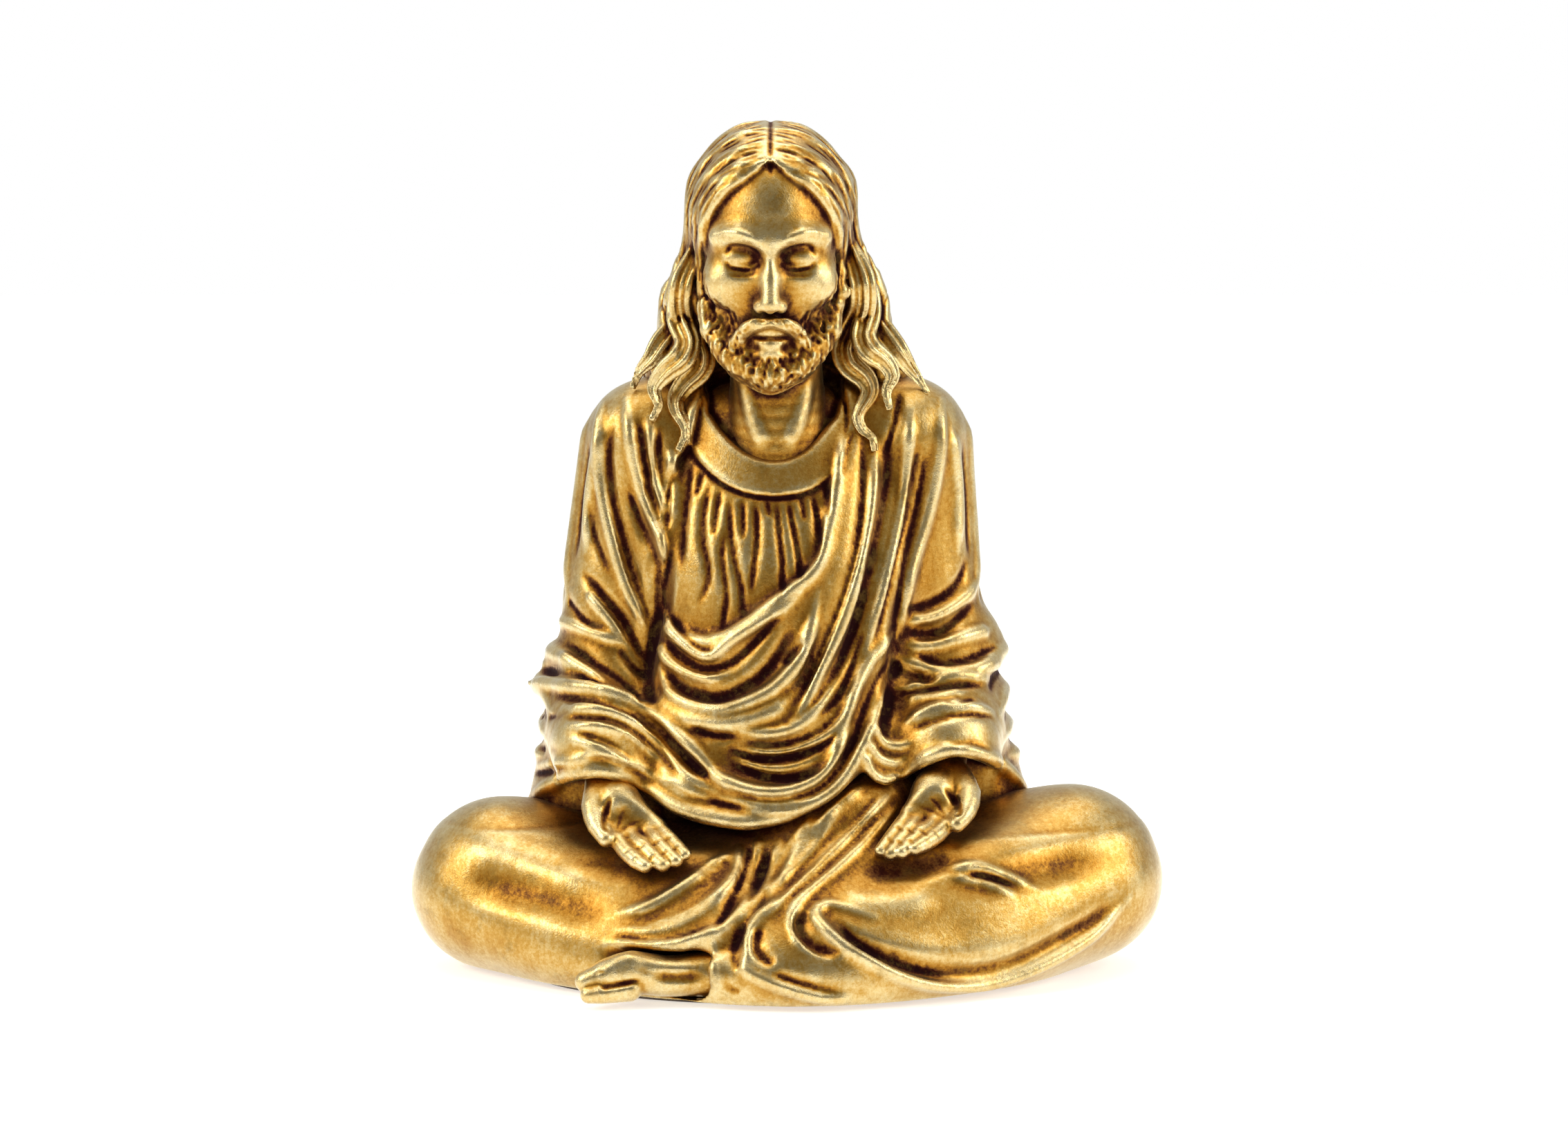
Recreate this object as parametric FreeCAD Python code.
"""Seated meditating figure in gilded cast resin: hollow castings, hands, foot, dowels, base plate and felt.

Millimetres. The figure sits on the plane z = 0, looks along -Y, and its right side is towards -X.
The origin is the middle of the felt pad's underside.
"""
import FreeCAD
import Part
import math
import os

Vec = FreeCAD.Vector

# ---- driving dimensions -------------------------------------------------
HEIGHT = 200.0            # felt to crown
FELT = 1.2                # felt pad thickness
WALL = 5.0                # casting wall
PLATE = 3.0               # closing plate thickness
GLUE = 0.15               # glue gap round plates, dowels and plugs
KNEE_Y = -9.0             # the line through both knees
KNEE_LEFT = 85.0          # reach of the knee towards -X
KNEE_RIGHT = 88.0         # reach of the other knee, which rides higher
BACK_POWER = 1.25         # how much the hips draw in behind the knees
SEAT_TOP = 34.0           # parting level between lap and torso castings
NECK_Z = 121.0            # parting level between torso and head castings
WAIST_DOWEL_R = 3.0
NECK_DOWEL_R = 2.5
WRIST_PIN_R = 1.0
FOOT_PIN_R = 1.0
WRIST_RISE = {-1: 0.0, 1: 3.0}   # the hand on the higher knee sits higher
VENT_R = 7.0              # filling hole in the closing plate
HEAD_X = -1.8             # the head leans slightly to -X
HEAD_LEAN = -6.0          # how far the head stands forward of the hips

UP = Vec(0, 0, 1)


# ---- shape helpers ------------------------------------------------------
def ring(z, rx, ry, cx=0.0, cy=0.0, square=2.0, count=20):
    """A closed smooth outline at height z: a superellipse, an ellipse when square is 2."""
    points = []
    for i in range(count):
        a = 2 * math.pi * i / count
        c, s = math.cos(a), math.sin(a)
        x = rx * math.copysign(abs(c) ** (2 / square), c)
        y = ry * math.copysign(abs(s) ** (2 / square), s)
        points.append(Vec(cx + x, cy + y, z))
    curve = Part.BSplineCurve()
    curve.interpolate(points, PeriodicFlag=True)
    return Part.Wire([curve.toShape()])


def stack(rings):
    """A solid skinned through closed outlines."""
    return Part.makeLoft(rings, True, False)


def pebble(centre, rx, ry, rz, turn=0.0):
    """A closed oval ball with a level axis, turned about Z in degrees."""
    x, y, z = centre
    levels = [-0.98, -0.85, -0.5, 0.0, 0.5, 0.85, 0.98]
    body = stack([ring(rz * t, rx * math.sqrt(1 - t * t), ry * math.sqrt(1 - t * t)) for t in levels])
    body.rotate(Vec(), UP, turn)
    body.translate(Vec(x, y, z))
    return body


def limb(stations):
    """A round limb through (point, radius) stations, closed flat at both ends."""
    points = [Vec(*p) for p, _ in stations]
    wires = []
    for i, (_, radius) in enumerate(stations):
        along = points[min(i + 1, len(points) - 1)] - points[max(i - 1, 0)]
        wires.append(Part.Wire([Part.makeCircle(radius, points[i], along)]))
    return Part.makeLoft(wires, True, False)


def rod(start, end, radius):
    """A straight round bar between two points."""
    a, b = Vec(*start), Vec(*end)
    return Part.makeCylinder(radius, (b - a).Length, a, b - a)


def finger(start, middle, end, radius):
    """Two straight phalanges with round joints and tip."""
    parts = [Part.makeSphere(radius, Vec(*p)) for p in (start, middle, end)]
    parts += [rod(start, middle, radius * 0.97), rod(middle, end, radius * 0.94)]
    return parts[0].fuse(parts[1:])


# ---- outer forms --------------------------------------------------------
def lap_outline(z, left, right, front, back):
    """The lap's outline at height z: four quarter curves that meet at the line through both knees."""
    points = []
    for i in range(24):
        a = 2 * math.pi * i / 24
        c, s = math.cos(a), math.sin(a)
        x = (right if c > 0 else left) * c
        y = back * abs(s) ** BACK_POWER if s > 0 else -front * abs(s)
        points.append(Vec(x, KNEE_Y + y, z))
    curve = Part.BSplineCurve()
    curve.interpolate(points, PeriodicFlag=True)
    return Part.Wire([curve.toShape()])


def lap_form():
    """Crossed legs under the robe, widest at the knees and lowest at the shins in front."""
    return stack([
        lap_outline(FELT, 70, 70, 51, 44),
        lap_outline(5, 77, 78, 52, 48),
        lap_outline(12, 83, 85, 50, 50),
        lap_outline(20, KNEE_LEFT, KNEE_RIGHT, 45, 50),
        lap_outline(28, 80, 88, 37, 48),
        lap_outline(34, 68, 84, 29, 44),
        lap_outline(38.5, 50, 72, 20, 36),
        lap_outline(40.5, 34, 52, 12, 26),
    ])


def sleeve(side):
    """Upper arm down to the elbow, then the wide cuff coming forward over the thigh."""
    upper = limb([((side * 33, 3, 124), 12.5), ((side * 37, 4, 108), 13),
                  ((side * 41, 3, 90), 14), ((side * 43, 0, 70), 14)])
    lower = limb([((side * 43, 2, 71), 14), ((side * 43, -10, 59), 14.5),
                  ((side * 41, -22, 49), 14)])
    balls = [Part.makeSphere(12.5, Vec(side * 33, 3, 124)), Part.makeSphere(14, Vec(side * 43, 0, 70))]
    return upper.fuse([lower] + balls)


def torso_form():
    """Chest and back in the outer robe, with both sleeves."""
    trunk = stack([
        ring(SEAT_TOP, 46, 34, cy=-2),
        ring(50, 42, 32, cy=-1),
        ring(75, 38, 28, cy=1),
        ring(100, 39, 26, cy=2),
        ring(116, 40, 23, cy=3),
        ring(128, 34, 19, cy=3),
        ring(135, 24, 15, cy=3),
        ring(139, 14, 11, cy=3),
    ])
    return trunk.fuse([sleeve(-1), sleeve(1)])


def head_form():
    """Neck, bowed head under long parted hair, beard, and the locks that lie on the shoulders."""
    x, y = HEAD_X, HEAD_LEAN
    skull = stack([
        ring(138, 6, 6, cx=x, cy=y - 18),
        ring(144, 13, 11, cx=x, cy=y - 13),
        ring(152, 18, 17, cx=x, cy=y - 7),
        ring(164, 21, 22, cx=x, cy=y),
        ring(177, 20.5, 24, cx=x, cy=y + 3),
        ring(188, 17.5, 20.5, cx=x, cy=y + 4),
        ring(196, 11.5, 13.5, cx=x, cy=y + 4),
        ring(HEIGHT, 3, 4, cx=x, cy=y + 4),
    ])
    neck = limb([((0, -3, NECK_Z), 12), ((0, y, 134), 11), ((x, y - 1, 152), 12)])
    back_hair = stack([
        ring(128, 16, 6, cy=16),
        ring(136, 23, 10, cy=14),
        ring(150, 24, 15, cy=9),
        ring(162, 22, 18, cy=4),
        ring(172, 18, 17, cy=2),
    ])
    locks = []
    for side in (-1, 1):
        locks.append(limb([((x + side * 17, y, 168), 5), ((x + side * 19, y - 4, 155), 5.5),
                           ((x + side * 20, y - 10, 142), 4.5), ((x + side * 21, y - 16, 127), 2)]))
        locks.append(limb([((side * 19, 4, 158), 6), ((side * 25, 3, 148), 5.5),
                           ((side * 33, 1, 139), 3)]))
    return skull.fuse([neck, back_hair] + locks)


# ---- fixings ------------------------------------------------------------
def waist_dowel_lines():
    return [((side * 24, 6, 20), (side * 24, 6, 46)) for side in (-1, 1)]


NECK_DOWEL = ((0, -3, 107), (0, -3, 135))
WRIST = {side: ((side * 40, -27, 42 + WRIST_RISE[side]), (side * 42, -19, 46 + WRIST_RISE[side]))
         for side in (-1, 1)}
FOOT_PIN = ((-20, -51.5, 8), (-5, -50, 8))


def pegs(lines, radius, extra=0.0):
    """Straight pins on the given lines, or the holes for them with a gap added."""
    grown = []
    for start, end in lines:
        a, b = Vec(*start), Vec(*end)
        reach = (b - a).normalize() * (2 * extra)
        grown.append(Part.makeCylinder(radius + extra, (b + reach - (a - reach)).Length, a - reach, b - a))
    return grown


# ---- castings -----------------------------------------------------------
def hand_casting(side):
    """Open hand, palm up, sloping down the thigh with the fingers together and the thumb apart."""
    lift = WRIST_RISE[side]

    def at(x, y, z):
        return side * x, y, z + lift

    heel = limb([(at(42, -19, 46), 5.0), (at(40, -27, 42), 5.6), (at(37, -34, 36.5), 5.8)])
    palm = pebble(at(36, -34, 36), 8.5, 9.5, 4.4, turn=side * -20)
    parts = [heel]
    for i in range(4):
        across = 3.3 * (i - 1.5)
        start = at(35 - across, -39 + 0.2 * across, 33)
        middle = at(32 - across, -42.5 + 0.2 * across, 29.5)
        end = at(29.5 - across, -44 + 0.2 * across, 26)
        parts.append(finger(start, middle, end, 2.2))
    thumb = finger(at(44, -28, 41), at(44.5, -34, 36), at(41.5, -39, 31.5), 2.9)
    return palm.fuse(parts + [thumb])


def hand_bed(side):
    """The sloping hollow in the thigh that the hand lies in."""
    lift = WRIST_RISE[side]
    return limb([((side * 43, -17, 50 + lift), 11), ((side * 36.5, -34, 38 + lift), 13),
                 ((side * 27, -52, 26 + lift), 12)])


def foot_casting():
    """The near foot lying on its side against the hem, toes out past it."""
    sole = pebble((-31, -53, 7.4), 15, 6.6, 6.2)
    ankle = limb([((-32, -52.5, 7.4), 5.4), ((-22, -52, 7.6), 6.0), ((-12, -51, 7.8), 6.2)])
    parts = [ankle]
    for i in range(5):
        size = 2.7 - 0.22 * i
        parts.append(Part.makeSphere(size, Vec(-43.5 + 0.7 * i, -54 - 0.3 * i, 10 - 1.6 * i)))
    return sole.fuse(parts)


def closing_plate_outline(z, grow=0.0):
    return ring(z, 46 + grow, 29 + grow, cy=-6, square=2.4)


def slab(outline, thickness):
    return Part.Face(outline).extrude(Vec(0, 0, thickness))


def build():
    """Every node of the figure, as name to shape."""
    torso_outer = torso_form()
    head = head_form()
    hands = {side: hand_casting(side) for side in (-1, 1)}
    foot = foot_casting()

    lap_cavity = stack([ring(FELT, 40, 24, cy=-6), ring(16, 40, 25, cy=-5), ring(26, 33, 20, cy=-2)])
    dowel_bosses = [rod(a, (b[0], b[1], SEAT_TOP), WAIST_DOWEL_R + 3) for a, b in waist_dowel_lines()]
    seat = lap_form().cut(lap_cavity).fuse(dowel_bosses)
    seat = seat.cut([torso_outer, foot] + [hand_bed(side) for side in hands])
    seat = seat.cut(slab(closing_plate_outline(FELT, GLUE), PLATE + GLUE))
    seat = seat.cut(pegs(waist_dowel_lines(), WAIST_DOWEL_R, GLUE) + pegs([FOOT_PIN], FOOT_PIN_R, GLUE))

    torso_cavity = stack([
        ring(SEAT_TOP + WALL, 36, 26, cy=-1),
        ring(60, 33, 24, cy=1),
        ring(90, 32, 21, cy=3),
        ring(108, 28, 17, cy=3),
    ])
    torso = torso_outer.cut(torso_cavity)
    torso = torso.fuse([rod((a[0], a[1], SEAT_TOP), (b[0], b[1], b[2] + 3), WAIST_DOWEL_R + 3)
                        for a, b in waist_dowel_lines()])
    torso = torso.fuse(rod((0, -3, 104), (0, -3, NECK_Z), NECK_DOWEL_R + 3))
    torso = torso.cut([head] + list(hands.values()))
    torso = torso.cut(pegs(waist_dowel_lines(), WAIST_DOWEL_R, GLUE)
                      + pegs([NECK_DOWEL], NECK_DOWEL_R, GLUE)
                      + pegs(WRIST.values(), WRIST_PIN_R, GLUE))

    head = head.cut(pegs([NECK_DOWEL], NECK_DOWEL_R, GLUE))
    foot = foot.cut(pegs([FOOT_PIN], FOOT_PIN_R, GLUE))
    for side in hands:
        hands[side] = hands[side].cut(pegs([WRIST[side]], WRIST_PIN_R, GLUE))

    plate = slab(closing_plate_outline(FELT), PLATE)
    plate = plate.cut(Part.makeCylinder(VENT_R, PLATE, Vec(0, -6, FELT)))
    plug = Part.makeCone(VENT_R - GLUE, VENT_R - GLUE - 0.4, PLATE + 1.5, Vec(0, -6, FELT))
    felt = slab(lap_outline(0, 62, 62, 44, 37), FELT)
    return {
        "seat_casting": seat,
        "torso_casting": torso,
        "head_casting": head,
        "right_hand": hands[-1],
        "left_hand": hands[1],
        "right_foot": foot,
        "waist_dowels": Part.makeCompound(pegs(waist_dowel_lines(), WAIST_DOWEL_R)),
        "neck_dowel": pegs([NECK_DOWEL], NECK_DOWEL_R)[0],
        "wrist_pins": Part.makeCompound(pegs(WRIST.values(), WRIST_PIN_R)),
        "foot_pin": pegs([FOOT_PIN], FOOT_PIN_R)[0],
        "base_plate": plate,
        "vent_plug": plug,
        "felt_pad": felt,
    }


os.makedirs("parts", exist_ok=True)
for name, shape in build().items():
    solids = shape.Solids
    assert solids and all(s.isValid() for s in solids), name
    print(name, len(solids), "solids", round(shape.Volume), "mm3")
    whole = solids[0] if len(solids) == 1 else Part.makeCompound(solids)
    whole.exportStep(f"parts/{name}.step")
